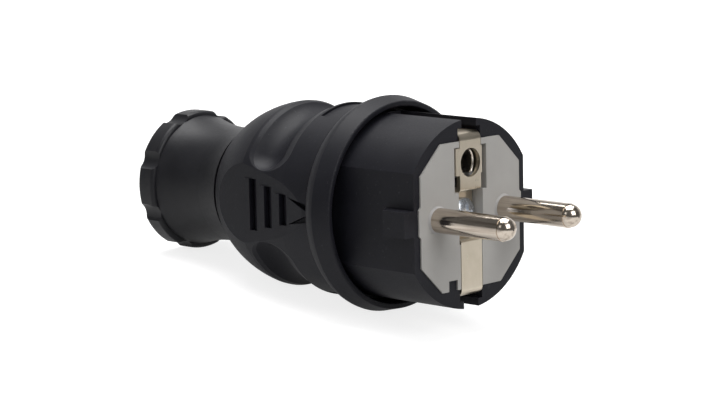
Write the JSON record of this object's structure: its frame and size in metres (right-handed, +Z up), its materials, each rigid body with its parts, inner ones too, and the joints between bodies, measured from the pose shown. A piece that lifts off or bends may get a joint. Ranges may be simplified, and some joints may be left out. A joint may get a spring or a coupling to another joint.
{
  "type": "type f plug",
  "caption": "Rewirable rubber mains plug, type F with a type E earth hole, two round pins, a sealing skirt and a screwed cable gland.",
  "frame": {"origin": "centre of the grey insert's front face, midway between the two live pins", "axes": "+X along the plug's axis towards the pin tips, +Z up with the earth hole above the pins, +Y towards the neutral pin"},
  "size_m": [0.0993, 0.043, 0.043],
  "materials": {
    "black_rubber": "satin moulded rubber",
    "black_nut_plastic": "semi-gloss moulded plastic",
    "black_inner_plastic": "matt moulded plastic",
    "grey_plastic": "matt moulded plastic",
    "nickel_plated": "nickel plated, polished",
    "nickel_strip": "nickel plated, satin",
    "brass": "bare machined brass",
    "zinc_steel": "bright zinc plated",
    "spring_steel": "bright rolled",
    "seal_rubber": "soft matt rubber"
  },
  "bodies": {
    "root": {"rubber_housing": "black_rubber", "thread_sleeve": "black_inner_plastic", "cord_seal": "seal_rubber", "line_pin": "nickel_plated", "neutral_pin": "nickel_plated", "pin_carrier": "grey_plastic", "earth_contact": "nickel_strip", "earth_spring": "spring_steel", "centre_screw": "zinc_steel", "earth_terminal": "brass", "line_clamp_screw": "zinc_steel", "neutral_clamp_screw": "zinc_steel", "earth_clamp_screw": "zinc_steel", "terminal_frame": "black_inner_plastic", "cord_clamp_bar": "black_inner_plastic", "cord_clamp_screw_left": "zinc_steel", "cord_clamp_screw_right": "zinc_steel", "cord_clamp_nut_left": "zinc_steel", "cord_clamp_nut_right": "zinc_steel"},
    "ring": {"pressure_ring": "zinc_steel"},
    "nut": {"gland_nut": "black_nut_plastic"}
  },
  "joints": [
    {"name": "ring_slide", "type": "slide", "parent": "root", "child": "ring", "axis": [-1, 0, 0], "range_m": [0, 0.004]},
    {"name": "nut_turn", "type": "hinge", "parent": "ring", "child": "nut", "pos_m": [-0.067, 0, 0], "axis": [-1, 0, 0], "range_deg": [0, 720]}
  ],
  "couplings": [
    {"joint": "ring_slide", "follows": "nut_turn", "m_per_rad": 0.00031831}
  ]
}
